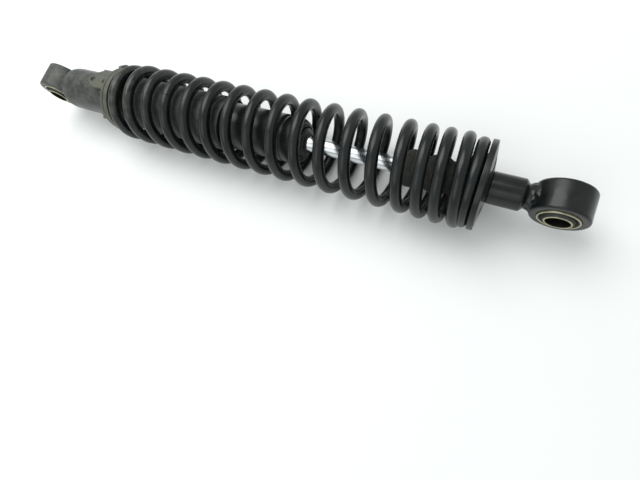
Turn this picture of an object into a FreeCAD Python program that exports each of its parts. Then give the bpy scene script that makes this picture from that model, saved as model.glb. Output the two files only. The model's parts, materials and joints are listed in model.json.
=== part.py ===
"""Coil-over rear shock absorber: twin-tube damper, stepped preload ring and progressive spring.

Frame: millimetres. Origin at the centre of the lower eye's bore, +X along the shock towards the
upper eye, both bolt bores along Y, +Z up. The shock is drawn at full extension.
Angles around the shock are in degrees from +Y towards +Z.
"""

import FreeCAD, Part
import math
import os

V = FreeCAD.Vector
ORIGIN = V(0, 0, 0)
AXIS = V(1, 0, 0)
BOLT_AXIS = V(0, 1, 0)

# ---------------------------------------------------------------- driving dimensions
EYE_TO_EYE = 368.0
BOLT_HOLE_D = 12.0

# lower eye and its rubber bush
LOWER_EYE_D = 29.6
LOWER_EYE_W = 18.5
LOWER_BUSH_D = 22.0
LOWER_BUSH_W = 19.5
LOWER_SLEEVE_WALL = 1.1
LOWER_SLEEVE_W = 22.5

# upper eye and its rubber bush
UPPER_EYE_D = 29.8
UPPER_EYE_W = 17.0
UPPER_BUSH_D = 21.4
UPPER_BUSH_W = 18.4
UPPER_SLEEVE_WALL = 1.0
UPPER_SLEEVE_W = 21.0

BUSH_WALL = 1.0            # wall of each bush's outer steel sleeve
BUSH_RUN = 0.05            # radial play of each inner sleeve in its rubber

# damper body
TUBE_D = 30.0
TUBE_WALL = 1.8
BODY_START = 22.0          # where the straight tube begins, from the lower eye
BODY_END = 218.0           # where the rolled end of the tube stops
BASE_DOME = 12.0           # length of the domed base cap
CAP_END_D = 19.0           # where the dome starts on the eye
SEAL_NOSE = 3.0            # how far the dust wiper stands out of the tube
OIL_GAP = 1.7              # oil space between the two tubes
INNER_TUBE_WALL = 1.5
VALVE_LENGTH = 10.0
VALVE_PORT_D = 2.8
VALVE_PORT_INSET = 3.5     # from the pressure tube's bore to the ports' centres
VALVE_DISC_INSET = 1.6     # from the pressure tube's bore to the disc's edge
VALVE_DISC = 1.0
VALVE_PIN_D = 5.0
VALVE_HEAD_D = 8.4
GUIDE_LENGTH = 12.0
SEAL_LENGTH = 7.0

# rod and piston
ROD_D = 10.0
ROD_END_D = 8.0
ROD_RUN = 0.05             # radial running clearance of the rod and of the piston ring
PISTON_LENGTH = 12.0
PISTON_PLAY = 0.3
RING_WIDTH = 5.0
RING_DEPTH = 1.6
RING_PLAY = 0.05           # play of the ring in its groove
PORT_D = 2.4
PORT_COUNT = 6
SHIM_THICKNESS = 0.4
SHIM_COUNT = 3
BACK_PLATE = 2.0
NUT_LENGTH = 6.5
NUT_ACROSS = 12.0
TOP_OUT_LENGTH = 8.0
TOP_OUT_INSET = 1.5        # how far the top-out rubber clears the pressure tube's wall
TOP_OUT_GAP = 0.3

# bump stop on the rod
BUMP_LENGTH = 42.0
BUMP_D = 22.0
BUMP_WAIST = 2.2
BUMP_WASHER = 2.0
BUMP_WASHER_D = 27.0

# spring and its seats
WIRE_D = 7.0
SPRING_D = 54.0
END_COIL_INSET = 1.7       # how much smaller the end coils' radius is
LOWER_SEAT_FACE = 72.3
UPPER_SEAT_TO_EYE = 42.0   # from the upper seat's spring face to the upper eye's centre
SPRING_TURNS = 17.45
SPRING_START = -54.0       # angle where the wire starts on the lower seat
OPEN_PITCH = 16.3
TIGHT_PITCH = 10.3
DEAD_PITCH = 2.5
TAPER_START = 12.2         # turns counted from the lower end
TAPER_END = 14.8
END_RAMP = 1.0             # turns over which each end coil opens

SEAT_INSET = 3.7           # how far the lower seat's rim lies inside the spring's outside
SEAT_THICKNESS = 5.0
SEAT_PLAY = 0.6            # radial play of the seat, the sleeve and the ring around the tube
TAB_WIDTH = 6.0
TAB_HEIGHT = 1.6
TAB_ANGLE = 48.0
SLEEVE_GAP = 0.55          # between the sleeve and the end coil around it
SLEEVE_WALL = 1.5
SLEEVE_LENGTH = 90.0

UPPER_DISC_EDGE = 3.2
UPPER_DISC_CROWN = 2.2
PILOT_GAP = 0.9            # between the upper seat's pilot and the end coil around it
PILOT_LENGTH = 5.0
PILOT_WALL = 2.0
SLOT_COUNT = 3
SLOT_INSET = 9.7           # from the disc's rim to the middle of its slots
SLOT_WIDTH = 3.6
SLOT_SPREAD = 46.0
SLOT_ANGLE = 66.0

# stepped preload ring
CAM_WALL = 2.4
CAM_FLARE = 4.3            # how far the ring flares out under the seat
CAM_FLARE_LENGTH = 7.0
CAM_GAP = 0.3              # between the ring and the seat it carries
CAM_LOBES = 2
CAM_WALL_ANGLE = 105.0     # where the high end of a lobe drops to the low end of the next
CAM_STEP = 3.5             # lift of one preload step
CAM_STEP_ANGLE = 30.0
CAM_NOTCHES = 5
CAM_NOTCH_NOW = 3          # notch the stop pins stand in, counted from the softest
CAM_NOTCH_DEPTH = 0.7
CAM_TIP_RADIUS = 12.0
SPANNER_HOLE_D = 3.6
SPANNER_HOLE_DEPTH = 1.7
STOP_PIN_D = 6.0
STOP_PIN_ANGLE = 30.0
STOP_PIN_TO_SEAT = 24.9    # from the stop pins to the lower seat's face
STOP_CLEAR = 0.3

# upper collar
COLLAR_D = 18.0
COLLAR_LENGTH = 16.9
COLLAR_CHAMFER = 2.2
NECK_D = 13.0
SPIGOT_D = 14.0
ROD_GRIP = 15.0
WELD_LEG = 2.6

# ---------------------------------------------------------------- sizes worked out from them
tube_r = TUBE_D / 2
tube_bore_r = tube_r - TUBE_WALL
rod_r = ROD_D / 2
wire_r = WIRE_D / 2
inner_tube_r = tube_bore_r - OIL_GAP
inner_bore_r = inner_tube_r - INNER_TUBE_WALL
upper_seat_face = EYE_TO_EYE - UPPER_SEAT_TO_EYE
seal_end = BODY_END - TUBE_WALL
seal_start = seal_end - SEAL_LENGTH
guide_start = seal_start - GUIDE_LENGTH
guide_step = guide_start + GUIDE_LENGTH / 2
valve_start = BODY_START + 2.0
inner_tube_start = valve_start + VALVE_LENGTH / 2
top_out_end = guide_start - TOP_OUT_GAP
rod_shoulder = top_out_end - TOP_OUT_LENGTH
shim_stack = SHIM_COUNT * SHIM_THICKNESS
piston_end = rod_shoulder - BACK_PLATE - shim_stack
piston_start = piston_end - PISTON_LENGTH
nut_end = piston_start - shim_stack
nut_start = nut_end - NUT_LENGTH
rod_start = nut_start - 2.0
disc_face = upper_seat_face + UPPER_DISC_EDGE
disc_crown = disc_face + UPPER_DISC_CROWN
collar_end = disc_crown + COLLAR_LENGTH
rod_end = disc_crown + ROD_GRIP
bump_end = upper_seat_face - BUMP_WASHER
bump_start = bump_end - BUMP_LENGTH
spring_r = SPRING_D / 2
end_coil_bore_r = spring_r - WIRE_D - END_COIL_INSET
disc_r = spring_r - END_COIL_INSET
seat_r = spring_r - SEAT_INSET
sleeve_r = end_coil_bore_r - SLEEVE_GAP
pilot_r = end_coil_bore_r - PILOT_GAP
cam_top = LOWER_SEAT_FACE - SEAT_THICKNESS - CAM_GAP
cam_bore_r = tube_r + SEAT_PLAY
cam_r = cam_bore_r + CAM_WALL
stop_pin_x = LOWER_SEAT_FACE - STOP_PIN_TO_SEAT


# ---------------------------------------------------------------- shape helpers
def turned(points):
    """A solid of revolution about the shock's axis from (x, radius) points."""
    corners = [V(x, 0, r) for x, r in points]
    face = Part.Face(Part.makePolygon(corners + corners[:1]))
    return face.revolve(ORIGIN, AXIS, 360)


def ring(x0, x1, outer_r, inner_r):
    """A plain ring about the shock's axis."""
    return turned([(x0, inner_r), (x0, outer_r), (x1, outer_r), (x1, inner_r)])


def rod(x0, x1, r):
    """A plain cylinder on the shock's axis."""
    return Part.makeCylinder(r, x1 - x0, V(x0, 0, 0), AXIS)


def cross_cylinder(x, r, width):
    """A cylinder along the bolt axis, centred on the shock at x."""
    return Part.makeCylinder(r, width, V(x, -width / 2, 0), BOLT_AXIS)


def cross_ring(x, outer_r, inner_r, width, soften=0.0):
    """A ring along the bolt axis, with its outer edges rounded."""
    outer = cross_cylinder(x, outer_r, width)
    if soften:
        outer = outer.makeFillet(soften, [e for e in outer.Edges if e.isClosed()])
    return outer.cut(cross_cylinder(x, inner_r, width * 2))


def around(angle, r, x):
    """The point at an angle and a radius about the axis."""
    a = math.radians(angle)
    return V(x, r * math.cos(a), r * math.sin(a))


def radial_pin(angle, x, r0, r1, diameter):
    """A cylinder pointing straight out of the axis."""
    return Part.makeCylinder(diameter / 2, r1 - r0, around(angle, r0, x), around(angle, 1, 0))


def wedge(x0, x1, r0, r1, angle, spread):
    """A ring sector centred on an angle."""
    face = Part.Face(Part.makePolygon([V(x0, r0, 0), V(x0, r1, 0), V(x1, r1, 0), V(x1, r0, 0), V(x0, r0, 0)]))
    face.rotate(ORIGIN, AXIS, angle - spread / 2)
    return face.revolve(ORIGIN, AXIS, spread)


def smooth(t):
    """Eased 0 to 1."""
    t = min(max(t, 0.0), 1.0)
    return t * t * (3 - 2 * t)


# ---------------------------------------------------------------- eyes and bushes
def eye_and_bush(x, prefix, eye_d, eye_w, bush_d, bush_w, sleeve_wall, sleeve_w):
    """An eye ring with its pressed-in sleeve, rubber and inner sleeve."""
    bush_r = bush_d / 2
    rubber_r = bush_r - BUSH_WALL
    inner_r = BOLT_HOLE_D / 2 + sleeve_wall
    rubber = cross_ring(x, rubber_r, inner_r + BUSH_RUN, bush_w - 1.0, 0.5)
    return {
        prefix + "_eye_ring": cross_ring(x, eye_d / 2, bush_r, eye_w, 1.2),
        prefix + "_bush_outer_sleeve": cross_ring(x, bush_r, rubber_r, bush_w, 0.25),
        prefix + "_bush_rubber": rubber,
        prefix + "_bush_inner_sleeve": cross_ring(x, inner_r, BOLT_HOLE_D / 2, sleeve_w, 0.25),
    }


def weld_bead(eye_x, eye_d, eye_w, outline, stem):
    """The weld bead in the corner between an eye ring and the turned stem it stands on."""
    eye_r = eye_d / 2
    shell = cross_ring(eye_x, eye_r + WELD_LEG, eye_r, eye_w - 1.0)
    return turned(outline).common(shell).cut(stem)


def lower_weld(cap):
    """The weld between the lower eye and the base cap."""
    x = BODY_START - BASE_DOME
    edge_r = CAP_END_D / 2 + WELD_LEG * 0.8
    outline = [(x - WELD_LEG, 0), (x - WELD_LEG, edge_r), (x + WELD_LEG * 2, tube_r - 0.6), (x + WELD_LEG * 2, 0)]
    return weld_bead(0, LOWER_EYE_D, LOWER_EYE_W, outline, cap)


def upper_weld(collar):
    """The weld between the upper eye and the collar's neck."""
    x = EYE_TO_EYE - UPPER_EYE_D / 2
    neck_r = NECK_D / 2
    outline = [(x - WELD_LEG, 0), (x - WELD_LEG, neck_r + 0.2), (x + WELD_LEG, neck_r + WELD_LEG), (x + WELD_LEG, 0)]
    return weld_bead(EYE_TO_EYE, UPPER_EYE_D, UPPER_EYE_W, outline, collar)


# ---------------------------------------------------------------- damper body
def base_cap():
    """The domed lower end of the damper, saddled to the lower eye."""
    x0 = BODY_START - BASE_DOME
    end_r = CAP_END_D / 2
    dome = [(x0, 0)]
    for i in range(9):
        a = math.radians(90 * i / 8)
        dome.append((x0 + (BASE_DOME - 1) * (1 - math.cos(a)), end_r + (tube_r - end_r) * math.sin(a)))
    dome += [(BODY_START, tube_r), (BODY_START, tube_bore_r), (BODY_START - 2, tube_bore_r)]
    dome += [(BODY_START - 4, tube_bore_r - 3), (BODY_START - 4, 0)]
    return turned(dome).cut(cross_cylinder(0, LOWER_EYE_D / 2, 60))


def damper_tube():
    """The outer tube, with a locating groove and a rolled end over the seal."""
    groove = seal_start - 4.0
    outside = [
        (BODY_START, tube_r), (groove - 1.2, tube_r), (groove, tube_r - 0.7), (groove + 1.2, tube_r - 0.3),
        (seal_end - 2.5, tube_r - 0.3), (seal_end - 0.6, tube_r - 1.1), (BODY_END - 0.5, tube_r - 3.0),
        (BODY_END, tube_r - 4.2),
    ]
    inside = [(BODY_END, tube_bore_r - 4.0), (seal_end, tube_bore_r - 4.0), (seal_end, tube_bore_r)]
    return turned(outside + inside + [(BODY_START, tube_bore_r)])


def damper_inside():
    """Pressure tube, base valve, rod guide, oil seal and dust wiper."""
    valve_end = valve_start + VALVE_LENGTH
    pin_r = VALVE_PIN_D / 2
    port_r = inner_bore_r - VALVE_PORT_INSET
    valve = turned([
        (valve_start, pin_r), (valve_start, tube_bore_r), (inner_tube_start, tube_bore_r),
        (inner_tube_start, inner_bore_r), (valve_end, inner_bore_r), (valve_end, pin_r),
    ])
    for i in range(4):
        valve = valve.cut(Part.makeCylinder(VALVE_PORT_D / 2, 30, around(90 * i, port_r, valve_start - 5), AXIS))
    valve_disc = ring(valve_end, valve_end + VALVE_DISC, inner_bore_r - VALVE_DISC_INSET, pin_r)
    valve_pin = rod(valve_start - 1.5, valve_end + VALVE_DISC, pin_r)
    pin_head = rod(valve_end + VALVE_DISC, valve_end + VALVE_DISC + 2.0, VALVE_HEAD_D / 2)
    guide = turned([
        (guide_start, rod_r + ROD_RUN), (guide_start, inner_bore_r), (guide_step, inner_bore_r),
        (guide_step, tube_bore_r), (seal_start, tube_bore_r), (seal_start, rod_r + ROD_RUN),
    ])
    seal = ring(seal_start, seal_end - 1.0, tube_bore_r, rod_r + ROD_RUN)
    wiper_r = tube_bore_r - 4.0
    wiper = turned([
        (seal_end - 1.0, rod_r + ROD_RUN), (seal_end - 1.0, tube_bore_r), (seal_end, tube_bore_r),
        (seal_end, wiper_r), (BODY_END + 1.0, wiper_r), (BODY_END + 1.6, wiper_r - 0.8),
        (BODY_END + SEAL_NOSE, rod_r + 1.6), (BODY_END + SEAL_NOSE, rod_r + ROD_RUN),
    ])
    return {
        "pressure_tube": ring(inner_tube_start, guide_step, inner_tube_r, inner_bore_r),
        "base_valve_body": valve,
        "base_valve_disc": valve_disc,
        "base_valve_rivet": valve_pin.fuse(pin_head).removeSplitter(),
        "rod_guide": guide,
        "oil_seal": seal,
        "dust_wiper": wiper,
    }


# ---------------------------------------------------------------- rod and piston
def rod_group():
    """Rod, piston, shims, nut and top-out rubber."""
    end_r = ROD_END_D / 2
    main = turned([
        (rod_start, 0), (rod_start, end_r - 0.8), (rod_start + 0.8, end_r), (rod_shoulder, end_r),
        (rod_shoulder, rod_r), (rod_end, rod_r), (rod_end, 0),
    ])
    piston_r = inner_bore_r - PISTON_PLAY
    ring_x = (piston_start + piston_end - RING_WIDTH) / 2
    piston = turned([
        (piston_start, end_r), (piston_start, piston_r), (ring_x, piston_r),
        (ring_x, piston_r - RING_DEPTH), (ring_x + RING_WIDTH, piston_r - RING_DEPTH),
        (ring_x + RING_WIDTH, piston_r), (piston_end, piston_r), (piston_end, end_r),
    ])
    for i in range(PORT_COUNT):
        port = around(360 * i / PORT_COUNT, (end_r + piston_r - RING_DEPTH) / 2, piston_start - 5)
        piston = piston.cut(Part.makeCylinder(PORT_D / 2, PISTON_LENGTH + 10, port, AXIS))
    band = ring(
        ring_x + RING_PLAY, ring_x + RING_WIDTH - RING_PLAY,
        inner_bore_r - ROD_RUN, piston_r - RING_DEPTH + RING_PLAY)
    upper_shims = []
    lower_shims = []
    for i in range(SHIM_COUNT):
        r = piston_r - 1.0 - 0.9 * i
        x = piston_end + i * SHIM_THICKNESS
        upper_shims.append(ring(x, x + SHIM_THICKNESS, r, end_r))
        x = piston_start - i * SHIM_THICKNESS
        lower_shims.append(ring(x - SHIM_THICKNESS, x, r, end_r))
    plate = ring(rod_shoulder - BACK_PLATE, rod_shoulder, piston_r - 2.6, end_r)
    hexagon = [V(nut_start, 0, 0) + around(60 * i, NUT_ACROSS / math.sqrt(3), 0) for i in range(7)]
    nut = Part.Face(Part.makePolygon(hexagon)).extrude(V(NUT_LENGTH, 0, 0)).cut(rod(nut_start - 1, nut_end + 1, end_r))
    top_out = ring(rod_shoulder, top_out_end, inner_bore_r - TOP_OUT_INSET, rod_r)
    return {
        "piston_rod": main,
        "piston": piston,
        "piston_ring": band,
        "compression_shims": Part.makeCompound(upper_shims),
        "rebound_shims": Part.makeCompound(lower_shims),
        "shim_back_plate": plate,
        "piston_nut": nut,
        "top_out_rubber": top_out,
    }


def bump_stop():
    """The rubber bump stop, with waists between its bulges."""
    r = BUMP_D / 2
    bulges = 3
    step = BUMP_LENGTH / bulges
    outline = [(bump_start, rod_r), (bump_start, r - 3.0)]
    for i in range(bulges):
        x = bump_start + i * step
        outline += [(x + step * 0.22, r), (x + step * 0.78, r)]
        if i < bulges - 1:
            outline.append((x + step, r - BUMP_WAIST))
    outline += [(bump_end, r - 0.5), (bump_end, rod_r)]
    return turned(outline)


# ---------------------------------------------------------------- spring
def spring_pitch(turn):
    """Rise per turn: dead end coils, open lower coils, tighter upper coils."""
    taper = smooth((turn - TAPER_START) / (TAPER_END - TAPER_START))
    pitch = OPEN_PITCH + (TIGHT_PITCH - OPEN_PITCH) * taper
    from_end = min(turn, SPRING_TURNS - turn)
    return DEAD_PITCH + (pitch - DEAD_PITCH) * min(from_end / END_RAMP, 1.0)


def spring_points(per_turn):
    """Points of the wire's centre line, from the lower seat to the upper one."""
    count = round(SPRING_TURNS * per_turn)
    turns = [SPRING_TURNS * i / count for i in range(count + 1)]
    rise = [0.0]
    for a, b in zip(turns, turns[1:]):
        rise.append(rise[-1] + spring_pitch((a + b) / 2) * (b - a))
    length = upper_seat_face - LOWER_SEAT_FACE - WIRE_D
    points = []
    for turn, x in zip(turns, rise):
        ends = smooth(min(turn, SPRING_TURNS - turn) / END_RAMP)
        r = spring_r - wire_r - END_COIL_INSET * (1 - ends)
        points.append(around(SPRING_START + 360 * turn, r, LOWER_SEAT_FACE + wire_r + x * length / rise[-1]))
    return points


def coil_spring():
    """The wire swept along its centre line."""
    curve = Part.BSplineCurve()
    curve.interpolate(spring_points(12))
    spine = Part.Wire(curve.toShape())
    start = curve.value(curve.FirstParameter)
    section = Part.Wire(Part.makeCircle(wire_r, start, curve.tangent(curve.FirstParameter)[0]))
    solid = spine.makePipeShell([section], True, True)
    print("spring wire length %.0f mm, volume ratio %.4f" % (
        curve.length(), solid.Volume / (math.pi * wire_r ** 2 * curve.length())))
    return solid


# ---------------------------------------------------------------- seats, sleeve and preload ring
def lower_seat():
    """The washer the spring stands on, with a small tab on its rim."""
    r = seat_r
    x0 = LOWER_SEAT_FACE - SEAT_THICKNESS
    seat = turned([
        (x0, cam_bore_r), (x0, r - 1.6), (x0 + 1.4, r), (LOWER_SEAT_FACE - 0.6, r),
        (LOWER_SEAT_FACE, r - 0.6), (LOWER_SEAT_FACE, cam_bore_r),
    ])
    tab = wedge(x0 + 1.0, x0 + 1.0 + TAB_WIDTH / 2, r - 2, r + TAB_HEIGHT, TAB_ANGLE, math.degrees(TAB_WIDTH / r))
    return seat.fuse(tab).removeSplitter()


def guide_sleeve():
    """The sleeve that keeps the spring off the damper tube."""
    r = sleeve_r
    end = LOWER_SEAT_FACE + SLEEVE_LENGTH
    return turned([
        (LOWER_SEAT_FACE, r - SLEEVE_WALL), (LOWER_SEAT_FACE, r), (end - 1.0, r),
        (end, r - SLEEVE_WALL / 2), (end, r - SLEEVE_WALL),
    ])


def cam_edge(angle):
    """Position of the ring's stepped edge at an angle: a ramp with round notches and a rounded tip."""
    lobe = 360 / CAM_LOBES
    lift = CAM_STEP / CAM_STEP_ANGLE
    past_wall = (angle - CAM_WALL_ANGLE) % lobe
    mid_r = (cam_r + cam_bore_r) / 2
    slope = math.atan(lift / math.radians(1) / mid_r)
    contact = stop_pin_x + (STOP_PIN_D / 2 + STOP_CLEAR) / math.cos(slope)
    pin_past_wall = (STOP_PIN_ANGLE - CAM_WALL_ANGLE) % lobe
    edge = contact + lift * (pin_past_wall - past_wall)
    for i in range(CAM_NOTCHES):
        centre = pin_past_wall + (i - CAM_NOTCH_NOW) * CAM_STEP_ANGLE
        off = math.radians(past_wall - centre) * mid_r / (STOP_PIN_D / 2)
        if abs(off) < 1:
            edge += CAM_NOTCH_DEPTH * math.cos(off * math.pi / 2)
    tip = contact + lift * (pin_past_wall - lobe)
    to_wall = math.radians(lobe - past_wall) * mid_r
    if to_wall < CAM_TIP_RADIUS:
        reach = CAM_TIP_RADIUS - to_wall
        edge = max(edge, tip + CAM_TIP_RADIUS - math.sqrt(CAM_TIP_RADIUS ** 2 - reach ** 2))
    return edge


def cam_ring():
    """The ring that sets the spring's preload, cut to its cam edge."""
    lowest = stop_pin_x - 20
    flare = cam_top - CAM_FLARE_LENGTH
    blank = turned([
        (lowest + 5, cam_bore_r), (lowest + 5, cam_r), (flare, cam_r),
        (cam_top - 0.8, cam_r + CAM_FLARE), (cam_top, cam_r + CAM_FLARE - 0.5), (cam_top, cam_bore_r),
    ])
    lobe = 360 / CAM_LOBES
    stations = 45
    for n in range(CAM_LOBES):
        sections = []
        for i in range(stations + 1):
            past = min(max(lobe * i / stations, 0.2), lobe - 1.0)
            angle = CAM_WALL_ANGLE + n * lobe + past
            edge = cam_edge(angle)
            corners = [(lowest, 10), (lowest, 30), (edge, 30), (edge, 10), (lowest, 10)]
            sections.append(Part.makePolygon([around(angle, r, x) for x, r in corners]))
        blank = blank.cut(Part.makeLoft(sections, True, True))
        blank = blank.cut(wedge(lowest, cam_edge(CAM_WALL_ANGLE - 1.0), 10, 30, CAM_WALL_ANGLE + n * lobe, 2.6))
    for n in range(CAM_LOBES):
        for x in (stop_pin_x + 1.0, stop_pin_x + 12.6):
            hole = radial_pin(CAM_WALL_ANGLE - 21 + n * lobe, x, cam_r - SPANNER_HOLE_DEPTH, cam_r + 5, SPANNER_HOLE_D)
            blank = blank.cut(hole)
    return blank


def stop_pins():
    """The two round stops on the tube that the ring's notches rest against."""
    pins = []
    for n in range(CAM_LOBES):
        pin = radial_pin(STOP_PIN_ANGLE + n * 360 / CAM_LOBES, stop_pin_x, tube_bore_r, cam_r - 0.3, STOP_PIN_D)
        pins.append(pin.cut(rod(0, 100, tube_r)))
    return Part.makeCompound(pins)


def upper_disc():
    """The crowned disc at the spring's upper end, with three curved slots."""
    r = disc_r
    slot_r = r - SLOT_INSET
    hub_r = SPIGOT_D / 2
    x = upper_seat_face
    disc = turned([
        (x, r - 0.5), (x + 0.5, r), (disc_face - 0.8, r), (disc_face, r - 0.8),
        (disc_crown, COLLAR_D / 2 + 1.0), (disc_crown, hub_r), (x, hub_r),
        (x, pilot_r - PILOT_WALL), (x - PILOT_LENGTH, pilot_r - PILOT_WALL), (x - PILOT_LENGTH, pilot_r - 0.8),
        (x - PILOT_LENGTH + 0.8, pilot_r), (x, pilot_r),
    ])
    for i in range(SLOT_COUNT):
        angle = SLOT_ANGLE + i * 360 / SLOT_COUNT
        slot = wedge(x + 1.0, disc_crown + 5, slot_r - SLOT_WIDTH / 2, slot_r + SLOT_WIDTH / 2, angle, SLOT_SPREAD)
        for side in (-1, 1):
            end = around(angle + side * SLOT_SPREAD / 2, slot_r, x + 1.0)
            slot = slot.fuse(Part.makeCylinder(SLOT_WIDTH / 2, 10, end, AXIS))
        disc = disc.cut(slot)
    return disc


def upper_collar():
    """The collar screwed on the rod, with the stem that carries the upper eye."""
    r = COLLAR_D / 2
    neck_r = NECK_D / 2
    stem_end = EYE_TO_EYE - UPPER_EYE_D / 2 + 4.0
    collar = turned([
        (upper_seat_face, rod_r), (upper_seat_face, SPIGOT_D / 2), (disc_crown, SPIGOT_D / 2),
        (disc_crown, r - 0.4), (disc_crown + 0.4, r), (collar_end, r), (collar_end + COLLAR_CHAMFER, neck_r),
        (stem_end, neck_r), (stem_end, 0), (rod_end, 0), (rod_end, rod_r),
    ])
    return collar.cut(cross_cylinder(EYE_TO_EYE, UPPER_EYE_D / 2, 60))


# ---------------------------------------------------------------- assembly
def build():
    """Every node of the shock absorber by name."""
    nodes = {}
    nodes.update(eye_and_bush(
        0, "lower", LOWER_EYE_D, LOWER_EYE_W, LOWER_BUSH_D, LOWER_BUSH_W, LOWER_SLEEVE_WALL, LOWER_SLEEVE_W))
    nodes.update(eye_and_bush(
        EYE_TO_EYE, "upper", UPPER_EYE_D, UPPER_EYE_W, UPPER_BUSH_D, UPPER_BUSH_W, UPPER_SLEEVE_WALL, UPPER_SLEEVE_W))
    cap = base_cap()
    collar = upper_collar()
    nodes["damper_base_cap"] = cap
    nodes["lower_weld_bead"] = lower_weld(cap)
    nodes["damper_tube"] = damper_tube()
    nodes.update(damper_inside())
    nodes["cam_stop_pins"] = stop_pins()
    nodes.update(rod_group())
    nodes["bump_stop"] = bump_stop()
    nodes["bump_stop_washer"] = ring(bump_end, upper_seat_face, BUMP_WASHER_D / 2, rod_r)
    nodes["coil_spring"] = coil_spring()
    nodes["lower_spring_seat"] = lower_seat()
    nodes["spring_guide_sleeve"] = guide_sleeve()
    nodes["preload_cam_ring"] = cam_ring()
    nodes["upper_spring_seat"] = upper_disc()
    nodes["upper_collar"] = collar
    nodes["upper_weld_bead"] = upper_weld(collar)
    return nodes


os.makedirs("parts", exist_ok=True)
for name, shape in build().items():
    solids = shape.Solids
    print("%-24s solids %d  volume %9.1f  valid %s" % (name, len(solids), shape.Volume, shape.isValid()))
    if len(solids) == 1:
        shape = solids[0]
    shape.exportStep("parts/%s.step" % name)
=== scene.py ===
"""Looks of a coil-over rear shock absorber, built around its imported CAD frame."""

import json
import math

import bmesh
import bpy
from bpy.props import FloatProperty, FloatVectorProperty, IntProperty, PointerProperty
from mathutils import Matrix, Vector, noise


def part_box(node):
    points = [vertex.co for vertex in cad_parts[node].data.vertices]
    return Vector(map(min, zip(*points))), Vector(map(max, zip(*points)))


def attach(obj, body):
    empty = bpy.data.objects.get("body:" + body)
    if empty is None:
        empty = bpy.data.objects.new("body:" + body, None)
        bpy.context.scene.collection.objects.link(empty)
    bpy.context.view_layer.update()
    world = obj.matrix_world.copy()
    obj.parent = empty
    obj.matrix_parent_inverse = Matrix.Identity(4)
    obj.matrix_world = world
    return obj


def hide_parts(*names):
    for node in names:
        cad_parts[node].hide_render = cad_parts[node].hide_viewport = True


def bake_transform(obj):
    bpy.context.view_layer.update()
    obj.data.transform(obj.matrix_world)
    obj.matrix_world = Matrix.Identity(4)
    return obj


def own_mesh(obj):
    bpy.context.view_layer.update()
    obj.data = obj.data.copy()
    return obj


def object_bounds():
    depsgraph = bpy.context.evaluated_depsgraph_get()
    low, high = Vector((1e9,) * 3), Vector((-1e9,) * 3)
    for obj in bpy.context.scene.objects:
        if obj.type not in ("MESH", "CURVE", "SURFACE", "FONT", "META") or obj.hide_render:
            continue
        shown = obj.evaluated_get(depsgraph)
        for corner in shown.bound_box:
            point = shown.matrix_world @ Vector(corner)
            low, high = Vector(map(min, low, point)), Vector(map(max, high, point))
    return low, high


bl_info = {
    "name": "Coil-over shock absorber",
    "version": (1, 0, 0),
    "blender": (4, 5, 0),
    "location": "View3D > Sidebar > Shock",
    "description": "Builds the visible pieces, finishes and stage of a rear shock absorber",
    "category": "Object",
}

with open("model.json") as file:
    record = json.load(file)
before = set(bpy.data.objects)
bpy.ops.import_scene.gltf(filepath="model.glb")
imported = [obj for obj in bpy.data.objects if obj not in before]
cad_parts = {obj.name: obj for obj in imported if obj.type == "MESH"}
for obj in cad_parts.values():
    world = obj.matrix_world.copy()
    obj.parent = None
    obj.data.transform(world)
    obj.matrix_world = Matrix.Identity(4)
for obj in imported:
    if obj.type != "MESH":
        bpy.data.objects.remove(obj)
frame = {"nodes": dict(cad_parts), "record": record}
CAD_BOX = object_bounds()

MM = 0.001
ALONG = Vector((1, 0, 0))
MOUNTS = {m["name"]: Vector(m["pos_m"]) for m in frame["record"]["mounts"]}

SHARP_ANGLE = 35.0                # degrees past which an edge is drawn sharp
BAR_SHARP_ANGLE = 50.0            # the same for bars and welds
SKIN_GAP = 0.02 * MM              # left between skins that would otherwise coincide
DOME_FOOT = 11.3 * MM             # where the base's dome sinks into the lower eye
DOME_FOOT_RADIUS = 9.5 * MM
NECK_RADIUS = 6.5 * MM            # between the collar and the upper eye
PIN_ANGLE = math.radians(30)      # where the first stop pin stands round the tube


def start(node):
    """Where a CAD node begins along the shock."""
    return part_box(node)[0][0]


def end(node):
    """Where a CAD node ends along the shock."""
    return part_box(node)[1][0]


def radius(node):
    """A turned CAD node's outer radius."""
    low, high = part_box(node)
    return (high[2] - low[2]) / 2


def width(node):
    """A CAD node's size along the bolt holes."""
    low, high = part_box(node)
    return high[1] - low[1]


def ring_size(node):
    """An eye or bush ring's outer radius and half its width."""
    return radius(node), width(node) / 2


def spring_radius():
    """The coil spring's outer radius."""
    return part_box("coil_spring")[1][2]


def start_of_upper_seat():
    """The face of the upper disc that the spring bears on."""
    return end("bump_stop_washer")


# ---------------------------------------------------------------- settings
def length(name, millimetres, description):
    """A length property, given in millimetres."""
    return FloatProperty(
        name=name, default=millimetres * MM, min=0.0, unit="LENGTH", precision=5, description=description)


def angle(name, degrees, description):
    """An angle property, given in degrees."""
    return FloatProperty(name=name, default=math.radians(degrees), subtype="ANGLE", description=description)


def number(name, value, description):
    """A plain number property."""
    return FloatProperty(name=name, default=value, min=0.0, description=description)


def colour(name, value, description):
    """A colour property."""
    return FloatVectorProperty(
        name=name, default=value, min=0.0, max=1.0, subtype="COLOR", size=3, description=description)


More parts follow.
